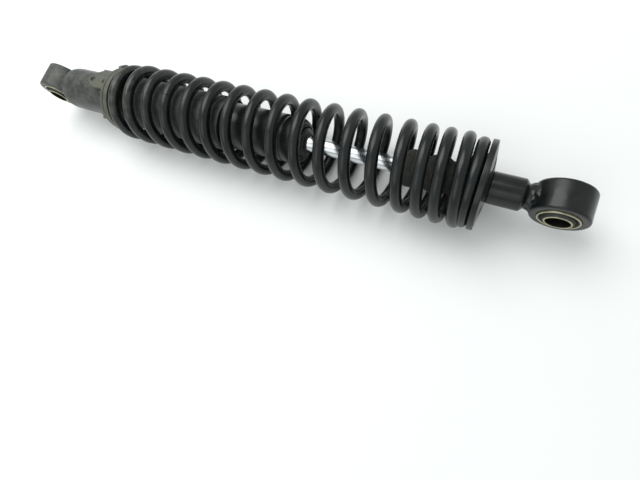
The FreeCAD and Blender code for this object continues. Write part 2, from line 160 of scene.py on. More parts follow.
class ShockSpringSettings(bpy.types.PropertyGroup):
    """Sizes of the coil spring's wire."""

    wire: length("Wire", 7.0, "Thickness of the spring wire")
    inset: length("End coil inset", 1.7, "How much smaller the end coils' radius is")
    open_pitch: length("Open pitch", 16.3, "Rise per turn of the lower coils")
    tight_pitch: length("Tight pitch", 10.3, "Rise per turn of the upper coils")
    dead_pitch: length("Dead pitch", 2.5, "Rise per turn where a coil lies on its seat")
    turns: number("Turns", 17.45, "Number of turns")
    start_angle: angle("Start", -54, "Where the wire starts")
    taper_start: number("Taper start", 12.2, "Turn where the coils begin to close up")
    taper_end: number("Taper end", 14.8, "Turn where the coils have closed up")
    ramp: number("End ramp", 1.0, "Turns over which an end coil opens")
    lying: number("Lying turns", 0.38, "Turns of wire that lie flat on the upper seat")
    flexing_turns: number("Flexing turns", 3.4, "Turns that give way when the preload changes")


class ShockDamperSettings(bpy.types.PropertyGroup):
    """Sizes of the damper's visible body and rod."""

    wall: length("Tube wall", 1.8, "Wall of the outer tube")
    groove: length("Groove depth", 0.7, "Depth of the rolled groove above the rod guide")
    wiper: length("Wiper radius", 9.2, "Radius of the dust wiper in the tube's mouth")
    waist: length("Bump stop waist", 2.2, "Depth of the waists of the bump stop")


class ShockPreloadSettings(bpy.types.PropertyGroup):
    """Sizes of the stepped preload ring."""

    wall: length("Ring wall", 2.4, "Wall of the ring")
    play: length("Play", 0.6, "Gap between the ring and the tube")
    flare: length("Flare", 4.3, "How far the ring flares out")
    flare_length: length("Flare length", 7.0, "Length of the flare")
    step: length("Step", 3.5, "Lift of one preload step")
    step_angle: angle("Step angle", 30, "Turn per step")
    wall_angle: angle("Wall angle", 105, "Where a lobe ends")
    notches: IntProperty(name="Notches", default=5, min=1, description="Number of preload steps")
    notch_now: IntProperty(name="Notch in use", default=3, min=0, description="Step in use, from the softest")
    notch_depth: length("Notch depth", 0.7, "Depth of each round notch")
    tip: length("Tip", 12.0, "Rounding of each lobe's tip")
    hole: length("Spanner hole", 1.8, "Radius of the spanner holes")
    hole_depth: length("Hole depth", 1.7, "Depth of the spanner holes")


class ShockEyeSettings(bpy.types.PropertyGroup):
    """Sizes of the two rubber-bushed eyes."""

    sleeve_wall: length("Outer sleeve wall", 1.0, "Wall of the bush's outer sleeve")
    bolt: length("Bolt radius", 6.0, "Radius of the bolt hole")
    edge: length("Eye edge", 1.4, "Rounding of the eye's rims")
    bead: length("Weld bead", 1.9, "Thickness of the weld beads")
    teeth: IntProperty(name="Teeth", default=36, min=3, description="Serrations on each inner sleeve's ends")


class ShockColours(bpy.types.PropertyGroup):
    """Colours of the finishes."""

    spring: colour("Spring paint", (0.0040, 0.0056, 0.0056), "Powder coat of the spring")
    gloss: colour("Gloss paint", (0.0040, 0.0052, 0.0056), "Paint of the upper end")
    satin: colour("Body paint", (0.0085, 0.0105, 0.0100), "Paint of the damper body")
    worn: colour("Worn paint", (0.028, 0.031, 0.029), "Paint of the lower end")
    bare: colour("Bare metal", (0.33, 0.32, 0.28), "Metal where paint has worn off")
    dust: colour("Dust", (0.15, 0.155, 0.13), "Road dust")
    zinc: colour("Dull zinc", (0.105, 0.108, 0.085), "Weathered zinc plating")
    yellow_zinc: colour("Yellow zinc", (0.46, 0.44, 0.30), "Yellow passivated zinc")
    chrome: colour("Chrome", (0.60, 0.62, 0.64), "Hard chrome")
    rubber: colour("Rubber", (0.020, 0.021, 0.022), "Bush rubber")
    bump_rubber: colour("Bump stop", (0.028, 0.027, 0.023), "Bump stop rubber")
    plastic: colour("Plastic", (0.030, 0.031, 0.033), "Moulded guide sleeve")
    steel: colour("Steel", (0.55, 0.56, 0.57), "Machined steel")
    aluminium: colour("Aluminium", (0.72, 0.72, 0.74), "Machined aluminium")
    bronze: colour("Bronze band", (0.32, 0.22, 0.12), "Bronze-filled bearing band")
    # Painted shade: this dark colour goes on the walls of the bolt bores in place of the shade deep inside
    # them.
    bore: colour("Bolt bore", (0.05, 0.05, 0.042), "Old grease in the bolt bores")


class ShockStageSettings(bpy.types.PropertyGroup):
    """Camera, floor and light."""

    offset: FloatVectorProperty(
        name="Camera offset", default=(-0.0362, -0.0994, 0.2275), subtype="TRANSLATION",
        description="Camera position from the upper eye")
    azimuth: angle("Azimuth", 62.18, "Turn of the view")
    elevation: angle("Elevation", 68.18, "Tilt down")
    roll: angle("Roll", -42.44, "Roll of the camera")
    lens: number("Lens", 23.58, "Focal length in millimetres on a 36 mm sensor")
    floor: colour("Floor", (0.86, 0.87, 0.865), "Colour of the table top")
    floor_size: length("Floor size", 4000, "Width of the table top")
    key: FloatProperty(name="Key light", default=5.4, subtype="POWER", description="Power of the main light")
    fill: FloatProperty(name="Fill light", default=2.6, subtype="POWER", description="Power of the side light")
    sky: number("Sky", 0.66, "Strength of the even light from all round")


# ---------------------------------------------------------------- mesh helpers
def smoothstep(t):
    """Eased 0 to 1."""
    t = min(max(t, 0.0), 1.0)
    return t * t * (3 - 2 * t)


def around(angle, r, x=0.0):
    """The point at an angle and a radius about the shock's axis."""
    return Vector((x, r * math.cos(angle), r * math.sin(angle)))


def rounded(outline, steps=5):
    """Rounds the corners of a closed outline of (x, r, rounding) points, the roundings in millimetres."""
    points = []
    for i, (x, r, soft) in enumerate(outline):
        corner = Vector((x, r))
        if soft <= 0:
            points.append(corner)
            continue
        before = Vector(outline[i - 1][:2]) - corner
        after = Vector(outline[(i + 1) % len(outline)][:2]) - corner
        cut = min(soft * MM, before.length * 0.49, after.length * 0.49)
        a = corner + before.normalized() * cut
        b = corner + after.normalized() * cut
        for k in range(steps + 1):
            t = k / steps
            points.append(a * (1 - t) ** 2 + corner * (2 * t * (1 - t)) + b * t ** 2)
    return points


def mirrored(side):
    """A closed outline from the (x, r, rounding) points of its far side, inner edge first."""
    return [(-x, r, soft) for x, r, soft in side] + side[::-1]


def spaced(points, gap):
    """Adds points so that no side of a closed outline is longer than gap."""
    out = []
    for a, b in zip(points, points[1:] + points[:1]):
        count = max(1, math.ceil((b - a).length / gap))
        out += [a.lerp(b, k / count) for k in range(count)]
    return out


def shade_edges(bm, sharp=SHARP_ANGLE):
    """Marks edges past an angle in degrees as sharp."""
    limit = math.radians(sharp)
    for edge in bm.edges:
        edge.smooth = len(edge.link_faces) == 2 and edge.calc_face_angle(0) < limit


def new_piece(name, bm, sharp=SHARP_ANGLE):
    """Turns a bmesh into an object with smooth shading and sharp edges past an angle in degrees."""
    bmesh.ops.remove_doubles(bm, verts=bm.verts, dist=1e-7)
    bmesh.ops.dissolve_degenerate(bm, edges=bm.edges, dist=1e-8)
    bmesh.ops.recalc_face_normals(bm, faces=bm.faces)
    shade_edges(bm, sharp)
    for face in bm.faces:
        face.smooth = True
    mesh = bpy.data.meshes.new(name)
    bm.to_mesh(mesh)
    bm.free()
    piece = bpy.data.objects.new(name, mesh)
    bpy.context.scene.collection.objects.link(piece)
    return piece


def grid(bm, rings, closed=True):
    """Skins rings of points; each ring closes on itself, and the last joins the first when closed."""
    rows = [[bm.verts.new(p) for p in ring] for ring in rings]
    count = len(rows[0])
    pairs = list(zip(rows, rows[1:] + rows[:1])) if closed else list(zip(rows, rows[1:]))
    for a, b in pairs:
        for k in range(count):
            n = (k + 1) % count
            bm.faces.new((a[k], a[n], b[n], b[k]))
    return rows


def turned(name, outline, segments=144, across=None, gap=None):
    """A piece turned from a closed outline: about the shock, or about the bolt hole at across."""
    points = rounded(outline)
    if gap:
        points = spaced(points, gap)
    bm = bmesh.new()
    rings = []
    for i in range(segments):
        a = math.tau * i / segments
        if across is None:
            rings.append([around(a, p.y, p.x) for p in points])
        else:
            rings.append([across + Vector((p.y * math.cos(a), p.x, p.y * math.sin(a))) for p in points])
    grid(bm, rings)
    return new_piece(name, bm)


def swept(name, path, refs, radii, segments):
    """A round bar along an open path. refs give each section's reference direction."""
    bm = bmesh.new()
    rings = []
    last = len(path) - 1
    for i, p in enumerate(path):
        tangent = (path[min(i + 1, last)] - path[max(i - 1, 0)]).normalized()
        u = (refs[i] - tangent * refs[i].dot(tangent)).normalized()
        v = tangent.cross(u)
        ring = []
        for k in range(segments):
            a = math.tau * k / segments
            ring.append(p + (u * math.cos(a) + v * math.sin(a)) * radii[i])
        rings.append(ring)
    rows = grid(bm, rings, False)
    bm.faces.new(rows[0])
    bm.faces.new(rows[-1][::-1])
    return new_piece(name, bm, BAR_SHARP_ANGLE)


def roughen(piece, depth, size, seed):
    """Presses shallow uneven dips into a piece, never outwards."""
    shift = Vector((seed * 7.3, seed * 3.1, seed * 5.7))
    mesh = piece.data
    moved = []
    for v in mesh.vertices:
        n = noise.fractal(v.co / size + shift, 1.0, 2.0, 3)
        moved.append(v.co - v.normal * depth * min(max(0.5 + n * 0.7, 0.0), 1.0))
    for v, co in zip(mesh.vertices, moved):
        v.co = co


def dress(piece, body, slot, *nodes):
    """Gives a piece its slot's finish and its body, and hides the CAD nodes it stands for."""
    piece.data.materials.clear()
    piece.data.materials.append(FINISHES[slot])
    if nodes:
        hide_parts(*nodes)
    if body:
        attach(piece, body)
    return piece


# ---------------------------------------------------------------- finishes
FINISHES = {}


class Finish:
    """Builds one material's nodes around its Principled shader."""

    def __init__(self, name):
        self.material = bpy.data.materials.new(name)
        self.material.use_nodes = True
        self.tree = self.material.node_tree
        self.shader = self.tree.nodes["Principled BSDF"]
        self.where = self.node("ShaderNodeTexCoord").outputs["Object"]
        FINISHES[name] = self.material

    def node(self, kind, **sockets):
        """Adds a node and sets or links its named sockets."""
        made = self.tree.nodes.new(kind)
        for key, value in sockets.items():
            self.put(made.inputs[key.replace("_", " ")], value)
        return made

    def put(self, socket, value):
        """Sets a socket to a value, or links it."""
        if isinstance(value, bpy.types.NodeSocket):
            self.tree.links.new(value, socket)
        else:
            socket.default_value = value

    def set(self, **sockets):
        """Sets or links the shader's sockets."""
        for key, value in sockets.items():
            self.put(self.shader.inputs[key.replace("_", " ")], value)

    def noise(self, size, detail=4.0, rough=0.55, stretch=None):
        """Even noise with features of a size in metres, stretched along the axes if asked."""
        where = self.where
        if stretch:
            where = self.node("ShaderNodeMapping", Vector=where, Scale=stretch).outputs["Vector"]
        made = self.node("ShaderNodeTexNoise", Vector=where, Scale=1.0 / size, Detail=detail, Roughness=rough)
        return made.outputs["Fac"]

    def between(self, value, low, high, to_low=0.0, to_high=1.0):
        """Maps a value from low and high to a new range, clamped."""
        made = self.node("ShaderNodeMapRange", Value=value)
        made.interpolation_type = "SMOOTHSTEP"
        for key, number in zip(("From Min", "From Max", "To Min", "To Max"), (low, high, to_low, to_high)):
            made.inputs[key].default_value = number
        return made.outputs["Result"]

    def times(self, a, b):
        """The product of two shares."""
        return self.sum("MULTIPLY", a, b, True)

    def most(self, a, b):
        """The larger of two shares."""
        return self.sum("MAXIMUM", a, b, True)

    def sum(self, operation, a, b, clamp=False):
        """One sum on two values."""
        made = self.tree.nodes.new("ShaderNodeMath")
        made.operation = operation
        made.use_clamp = clamp
        self.put(made.inputs[0], a)
        self.put(made.inputs[1], b)
        return made.outputs["Value"]

    def mix(self, share, a, b):
        """Mixes two colours."""
        made = self.tree.nodes.new("ShaderNodeMix")
        made.data_type = "RGBA"
        self.put(made.inputs["Factor"], share)
        self.put(made.inputs[6], a)
        self.put(made.inputs[7], b)
        return made.outputs[2]

    def bump(self, height, depth, below=None):
        """A bump of a depth in metres, on top of another."""
        made = self.node("ShaderNodeBump", Height=height, Strength=1.0, Distance=depth)
        if below is not None:
            self.put(made.inputs["Normal"], below)
        return made.outputs["Normal"]

    def upward(self):
        """1 on surfaces that face up, where dust settles."""
        parts = self.node("ShaderNodeSeparateXYZ", Vector=self.node("ShaderNodeNewGeometry").outputs["Normal"])
        return self.between(parts.outputs["Z"], -0.1, 0.9)

    def hollows(self):
        """1 in corners and hollows of dense meshes."""
        pointed = self.node("ShaderNodeNewGeometry").outputs["Pointiness"]
        return self.between(pointed, 0.44, 0.5, 1.0, 0.0)

    def rims(self):
        """1 along outer edges of dense meshes."""
        pointed = self.node("ShaderNodeNewGeometry").outputs["Pointiness"]
        return self.between(pointed, 0.52, 0.58)

    def past(self, near, far):
        """Fades from 1 at near to 0 at far along the shock."""
        parts = self.node("ShaderNodeSeparateXYZ", Vector=self.where)
        return self.between(parts.outputs["X"], near, far, 1.0, 0.0)

    def near_eye(self, near, far):
        """1 closer than near to either eye's bolt axis, fading to 0 at far."""
        parts = self.node("ShaderNodeSeparateXYZ", Vector=self.where)
        middle = MOUNTS["upper_eye_bore"].x / 2
        x = parts.outputs["X"]
        for _ in range(2):    # the first fold lays one eye on the other, the second measures from there
            x = self.sum("ABSOLUTE", self.sum("SUBTRACT", x, middle), 0.0)
        flat = self.node("ShaderNodeCombineXYZ", X=x, Z=parts.outputs["Z"])
        reach = self.tree.nodes.new("ShaderNodeVectorMath")
        reach.operation = "LENGTH"
        self.put(reach.inputs[0], flat.outputs["Vector"])
        return self.between(reach.outputs["Value"], near, far, 1.0, 0.0)


def rgba(value, gain=1.0):
    """A colour property as four numbers."""
    return (value[0] * gain, value[1] * gain, value[2] * gain, 1.0)


def paint(name, base, colours, *, roughness, dusty, worn, peel, shine, fade=None, faded=None):
    """Coated steel: orange peel, soft blotches, settled dust and bare edges; fade keeps dust to one end."""
    f = Finish(name)
    blotch = f.between(f.noise(14 * MM, 5), 0.35, 0.7)
    fine = f.noise(0.9 * MM, 3)
    settle = f.times(f.upward(), f.between(f.noise(5 * MM, 6, 0.65), 0.3, 0.75))
    settle = f.most(settle, f.times(f.hollows(), 0.8))
    settle = f.times(settle, dusty)
    if fade:
        settle = f.times(settle, f.past(*fade))
    speck = f.between(f.noise(0.5 * MM, 2, 0.7), 0.66, 0.72, 0.0, 0.5 * dusty + 0.04)
    settle = f.sum("ADD", settle, speck, True)
    colour = f.mix(blotch, rgba(base), rgba(base, 1.5))
    if faded:
        colour = f.mix(f.past(*fade), colour, rgba(faded))
    colour = f.mix(settle, colour, rgba(colours.dust))
    edges = f.times(f.rims(), f.between(f.noise(2.2 * MM, 4, 0.7), 0.62 - 0.3 * worn, 0.72))
    edges = f.times(edges, min(worn * 1.4, 1.0))
    colour = f.mix(edges, colour, rgba(colours.bare))
    f.set(Base_Color=colour, Metallic=f.times(edges, 0.8))
    rough = f.between(blotch, 0.0, 1.0, roughness - 0.05, roughness + 0.07)
    f.set(Roughness=f.most(rough, f.times(settle, 0.85)))
    f.set(Specular_IOR_Level=shine)
    f.set(Normal=f.bump(fine, peel, f.bump(settle, 0.03 * MM)))


def plated(name, base, colours, *, roughness, dusty, metallic=1.0, grain=0.01 * MM, bore=0.0):
    """Plated or machined metal with turning marks and a dull film; within a radius of the bolt axes the colour
    goes dark as painted shade in the bolt bores.
    """
    f = Finish(name)
    film = f.between(f.noise(6 * MM, 6, 0.65), 0.35, 0.7)
    marks = f.noise(0.35 * MM, 2, 0.5, (1.0, 0.05, 0.05))
    grime = f.most(f.hollows(), f.between(f.noise(2.5 * MM, 5, 0.7), 0.5, 0.75))
    grime = f.times(grime, dusty)
    colour = f.mix(film, rgba(base, 0.85), rgba(base, 1.12))
    colour = f.mix(grime, colour, rgba(colours.dust))
    # Painted shade: the walls of the bolt bores take the dark bore colour, standing in for the shade deep
    # inside them.
    if bore:
        colour = f.mix(f.near_eye(bore + 0.1 * MM, bore + 0.35 * MM), colour, rgba(colours.bore))
    f.set(Base_Color=colour, Metallic=f.between(grime, 0.0, 1.0, metallic, metallic * 0.25))
    rough = f.between(film, 0.0, 1.0, roughness - 0.06, roughness + 0.1)
    f.set(Roughness=f.most(rough, f.times(grime, 0.8)))
    f.set(Normal=f.bump(marks, grain, f.bump(grime, 0.03 * MM)))


def rubbery(name, base, colours, *, roughness, dusty):
    """Moulded rubber or plastic: fine grain, rubbed patches and a little dust."""
    f = Finish(name)
    patch = f.between(f.noise(9 * MM, 5), 0.35, 0.7)
    grain = f.noise(0.4 * MM, 3)
    settle = f.times(f.upward(), f.between(f.noise(3 * MM, 6, 0.7), 0.35, 0.75))
    settle = f.times(settle, dusty)
    colour = f.mix(patch, rgba(base, 0.8), rgba(base, 1.3))
    f.set(Base_Color=f.mix(settle, colour, rgba(colours.dust)))
    f.set(Roughness=f.between(patch, 0.0, 1.0, roughness - 0.05, roughness + 0.08))
    f.set(Normal=f.bump(grain, 0.02 * MM))


def polished(name, base):
    """Hard chrome: mirror-like with faint polishing lines."""
    f = Finish(name)
    lines = f.noise(0.25 * MM, 2, 0.5, (1.0, 0.04, 0.04))
    haze = f.between(f.noise(8 * MM, 4), 0.4, 0.75, 0.17, 0.24)
    f.set(Base_Color=f.mix(f.between(f.noise(20 * MM, 3), 0.3, 0.8), rgba(base), rgba(base, 0.92)))
    f.set(Metallic=1.0, Roughness=haze, Normal=f.bump(lines, 0.001 * MM))


class SHOCK_OT_finishes(bpy.types.Operator):
    """Make every finish of the shock absorber"""

    bl_idname = "shock.finishes"
    bl_label = "Finishes"

    def execute(self, context):
        c = context.scene.shock_colours
        coils, tube = start("coil_spring"), start("damper_tube")
        paint("spring_black", c.spring, c, roughness=0.27, dusty=0.45, worn=0.12, peel=0.012 * MM,
              shine=0.38, fade=(coils, coils + 60 * MM))
        paint("gloss_black", c.gloss, c, roughness=0.26, dusty=0.03, worn=0.15, peel=0.008 * MM, shine=0.36)
        paint("body_black", c.satin, c, roughness=0.33, dusty=0.5, worn=0.2, peel=0.010 * MM,
              shine=0.35, fade=(tube + 30 * MM, tube + 110 * MM), faded=c.worn)
        paint("weathered_black", c.worn, c, roughness=0.46, dusty=0.55, worn=0.6, peel=0.03 * MM, shine=0.35)
        plated("dull_zinc", c.zinc, c, roughness=0.55, dusty=0.6, metallic=0.45, grain=0.02 * MM)
        # The bolt bores inside the yellow zinc sleeves get painted shade.
        plated("yellow_zinc", c.yellow_zinc, c, roughness=0.36, dusty=0.2, metallic=0.9,
               bore=context.scene.shock_eyes.bolt)
        plated("machined_steel", c.steel, c, roughness=0.3, dusty=0.05)
        plated("machined_aluminium", c.aluminium, c, roughness=0.34, dusty=0.05)
        polished("hard_chrome", c.chrome)
        for name, base, roughness, dusty in (
            ("bush_rubber", c.rubber, 0.62, 0.3), ("seal_rubber", c.rubber, 0.4, 0.1),
            ("bump_rubber", c.bump_rubber, 0.75, 0.3), ("black_plastic", c.plastic, 0.5, 0.3),
            ("bronze_band", c.bronze, 0.55, 0.05),
        ):
            rubbery(name, base, c, roughness=roughness, dusty=dusty)
        return {"FINISHED"}


# ---------------------------------------------------------------- damper
class SHOCK_OT_damper(bpy.types.Operator):
    """Make the damper's base, tube and dust wiper"""

    bl_idname = "shock.damper"
    bl_label = "Damper body"

    def execute(self, context):
        s = context.scene.shock_damper
        r = radius("damper_tube")
        self.tube(s, r)
        self.wiper(s)
        self.base_cap(s, r)
        return {"FINISHED"}

    def tube(self, s, r):
        """The outer tube, with a rolled groove and a mouth rolled in over the dust wiper."""
        low, high = start("damper_tube") - 0.4 * MM, end("damper_tube")
        groove = start("oil_seal") - 4.0 * MM
        beyond = r - 0.3 * MM
        bore = r - s.wall
        lip = high - s.wall
        tube = turned("damper_tube_body", [
            (low, r, 0), (groove - 1.6 * MM, r, 0.6), (groove, r - s.groove, 0.9),
            (groove + 1.5 * MM, beyond, 0.6), (lip - 2.0 * MM, beyond, 1.5),
            (high - 0.2 * MM, r - 2.4 * MM, 1.3), (high, r - 4.6 * MM, 0.5),
            (high - 0.9 * MM, s.wiper, 0.3), (lip, s.wiper, 0), (lip, bore, 0), (low, bore, 0),
        ], 192, gap=1.5 * MM)
        roughen(tube, 0.10 * MM, 16 * MM, 1)
        dress(tube, "damper_body", "body_black", "damper_tube")

    def wiper(self, s):
        """The dust wiper's ring and its thin lip against the rod."""
        low, high = end("damper_tube") - s.wall, end("dust_wiper")
        outer = s.wiper - 0.05 * MM
        rod = radius("piston_rod") + 0.06 * MM
        wiper = turned("dust_wiper_lip", [
            (low, outer, 0), (high - 2.2 * MM, outer, 0.4),
            (high - 1.5 * MM, s.wiper - 1.2 * MM, 0.3), (high - 1.0 * MM, s.wiper - 1.4 * MM, 0.3),
            (high, rod + 1.14 * MM, 0.4), (high - 0.1 * MM, rod, 0.1), (low, rod, 0),
        ], 128)
        dress(wiper, "damper_body", "seal_rubber", "dust_wiper")

    def base_cap(self, s, r):
        """The domed base, sunk into the lower eye's wall."""
        x0 = start("damper_tube")
        steps = 14
        outline = []
        for i in range(steps + 1):
            a = math.radians(90 * i / steps)
            x = DOME_FOOT + (x0 - DOME_FOOT) * (1 - math.cos(a))
            outline.append((x, DOME_FOOT_RADIUS + (r - DOME_FOOT_RADIUS) * math.sin(a), 0))
        inner = r - s.wall
        thick = 3 * MM
        outline += [(x0 + 0.05 * MM, inner, 0), (x0 - 4.0 * MM, inner - thick, 0),
                    (DOME_FOOT, DOME_FOOT_RADIUS - thick, 0)]
        cap = turned("damper_base_dome", outline, 160, gap=1.2 * MM)
        roughen(cap, 0.16 * MM, 7 * MM, 2)
        dress(cap, "damper_body", "weathered_black", "damper_base_cap")


# ---------------------------------------------------------------- eyes
def notched_sleeve(name, centre, r, bore, half, teeth):
    """A bolt sleeve with small serrations on both end faces."""
    bm = bmesh.new()
    rings = []
    per_tooth = 6
    count = teeth * per_tooth
    soft, tooth = 0.3 * MM, 0.22 * MM
    for i in range(count):
        a = math.tau * i / count
        face = half - tooth * abs(2 * (i % per_tooth) / per_tooth - 1)
        outline = [
            (-face, bore + soft), (-face, r - soft), (-half + soft, r), (half - soft, r),
            (face, r - soft), (face, bore + soft), (half - soft, bore), (-half + soft, bore),
        ]
        rings.append([centre + Vector((q * math.cos(a), y, q * math.sin(a))) for y, q in outline])
    grid(bm, rings)
    return new_piece(name, bm, 30)


def make_eye(context, prefix, eye_finish, body, sleeve_body):
    """An eye ring with its outer sleeve, rubber and serrated bolt sleeve."""
    s = context.scene.shock_eyes
    centre = MOUNTS[prefix + "_eye_bore"]
    eye_r, half = ring_size(prefix + "_eye_ring")
    bush_r, bush_half = ring_size(prefix + "_bush_outer_sleeve")
    inner_r, inner_half = ring_size(prefix + "_bush_inner_sleeve")
    rubber_r = bush_r - s.sleeve_wall
    soft = 0.35
    eye = turned(prefix + "_eye", mirrored([(half, bush_r, soft), (half, eye_r, s.edge / MM)]),
                 192, centre, gap=0.9 * MM)
    roughen(eye, 0.12 * MM, 9 * MM, 3 if prefix == "lower" else 4)
    dress(eye, body, eye_finish, prefix + "_eye_ring")
    shell = turned(prefix + "_bush_shell", mirrored([
        (bush_half, rubber_r, soft), (bush_half, bush_r - 0.1 * MM, 0.45)]), 160, centre)
    dress(shell, body, "yellow_zinc", prefix + "_bush_outer_sleeve")
    face = bush_half - 0.5 * MM
    lip = inner_half - 0.45 * MM
    gap = inner_r + 0.05 * MM
    rubber = turned(prefix + "_bush_rubber_ring", mirrored([
        (face, rubber_r, 0), (face, rubber_r - 0.5 * MM, 0.2),
        (face - 1.5 * MM, (rubber_r + inner_r) / 2, 1.2), (face, gap + 0.9 * MM, 0.6),
        (lip, gap + 0.4 * MM, 0.3), (lip, gap, 0.1)]), 128, centre)
    dress(rubber, body, "bush_rubber", prefix + "_bush_rubber")
    bolt = notched_sleeve(prefix + "_bolt_sleeve", centre, inner_r, s.bolt, inner_half, s.teeth)
    dress(bolt, sleeve_body, "yellow_zinc", prefix + "_bush_inner_sleeve")


class SHOCK_OT_lower_eye(bpy.types.Operator):
    """Make the lower eye and its bush"""

    bl_idname = "shock.lower_eye"
    bl_label = "Lower eye"

    def execute(self, context):
        make_eye(context, "lower", "weathered_black", "damper_body", "lower_mount_sleeve")
        return {"FINISHED"}


class SHOCK_OT_upper_eye(bpy.types.Operator):
    """Make the upper eye and its bush"""

    bl_idname = "shock.upper_eye"
    bl_label = "Upper eye"

    def execute(self, context):
        make_eye(context, "upper", "gloss_black", "rod_assembly", "upper_mount_sleeve")
        return {"FINISHED"}


def weld_line(name, path, thickness, seed):
    """A hand-laid weld bead: overlapping ripples along a path."""
    radii = []
    for i, p in enumerate(path):
        ripple = abs(math.sin(i * math.pi / 5))
        uneven = noise.noise(p * 260 + Vector((seed, 0, 0)))
        taper = min(1.0, 0.35 + min(i, len(path) - 1 - i) / 6)
        radii.append(thickness * (0.86 + 0.14 * ripple + 0.12 * uneven) * taper)
    return swept(name, path, [ALONG] * len(path), radii, 18)


class SHOCK_OT_welds(bpy.types.Operator):
    """Lay the weld beads at both eyes"""

    bl_idname = "shock.welds"
    bl_label = "Welds"

    def execute(self, context):
        s = context.scene.shock_eyes
        self.lower(s.bead)
        self.upper(s.bead)
        return {"FINISHED"}

    def lower(self, bead):
        """Two short beads where the lower eye meets the dome."""
        eye_r, half = ring_size("lower_eye_ring")
        eye_r -= 0.2 * MM
        half -= 1.4 * MM
        tube_r, x0 = radius("damper_tube"), start("damper_tube")
        steps = 20
        pieces = []
        for side in (-1, 1):
            path = []
            for k in range(2 * steps + 1):
                y = half * (k / steps - 1)
                low, high = 0.0, eye_r * 0.98
                for _ in range(30):    # halves in on where the eye's skin meets the dome's
                    z = (low + high) / 2
                    x = math.sqrt(eye_r ** 2 - z ** 2)
                    share = min(max((x - DOME_FOOT) / (x0 - DOME_FOOT), 0.0), 1.0)
                    dome = DOME_FOOT_RADIUS + (tube_r - DOME_FOOT_RADIUS) * math.sqrt(1 - (1 - share) ** 2)
                    if math.hypot(y, z) > dome:
                        high = z
                    else:
                        low = z
                path.append(Vector((x + 0.3 * MM, y, side * z)))
            pieces.append(weld_line("weld", path, bead * 0.8, 3 + side))
        dress(join("lower_weld", pieces), "damper_body", "weathered_black", "lower_weld_bead")

    def upper(self, bead):
        """The filled fillet all round the neck of the upper eye, lumpy under its paint."""
        eye_x = MOUNTS["upper_eye_bore"].x
        eye_r, half = ring_size("upper_eye_ring")
        eye_r -= 0.15 * MM
        buried = NECK_RADIUS - 1.2 * MM
        count, steps = 128, 14
        rings = []
        for k in range(count):
            a = math.tau * k / count
            foot_r = 1 / math.hypot(math.cos(a) / (half - 0.5 * MM), math.sin(a) / (half + 1.2 * MM))
            foot = around(a, foot_r)
            foot.x = eye_x - math.sqrt(eye_r ** 2 - foot.z ** 2)
            top = around(a, NECK_RADIUS - 0.1 * MM)
            top.x = eye_x - math.sqrt(eye_r ** 2 - top.z ** 2) - bead * 1.9
            hollow = around(a, NECK_RADIUS + bead * 0.25, foot.x - bead * 0.35)
            ring = []
            for i in range(steps + 1):
                t = i / steps
                p = top * (1 - t) ** 2 + hollow * (2 * t * (1 - t)) + foot * t ** 2
                out = (p - Vector((foot.x + bead, 0, 0))).normalized()
                lump = noise.noise(Vector((p.x * 330, p.y * 330 + 4, p.z * 330))) + 0.45
                ring.append(p + out * 0.75 * MM * lump * math.sin(math.pi * t))
            sunk = foot.x + 1.2 * MM
            for r, x in ((foot_r - 0.8 * MM, sunk), (buried, sunk), (buried, top.x + 0.3 * MM)):
                ring.append(around(a, r, x))
            rings.append(ring)
        bm = bmesh.new()
        grid(bm, rings)
        weld = new_piece("upper_weld", bm, 60)
        dress(weld, "rod_assembly", "gloss_black", "upper_weld_bead")


def join(name, pieces):
    """Joins pieces into one object."""
    bm = bmesh.new()
    for piece in pieces:
        bm.from_mesh(piece.data)
        bpy.data.objects.remove(piece)
    return new_piece(name, bm, BAR_SHARP_ANGLE)


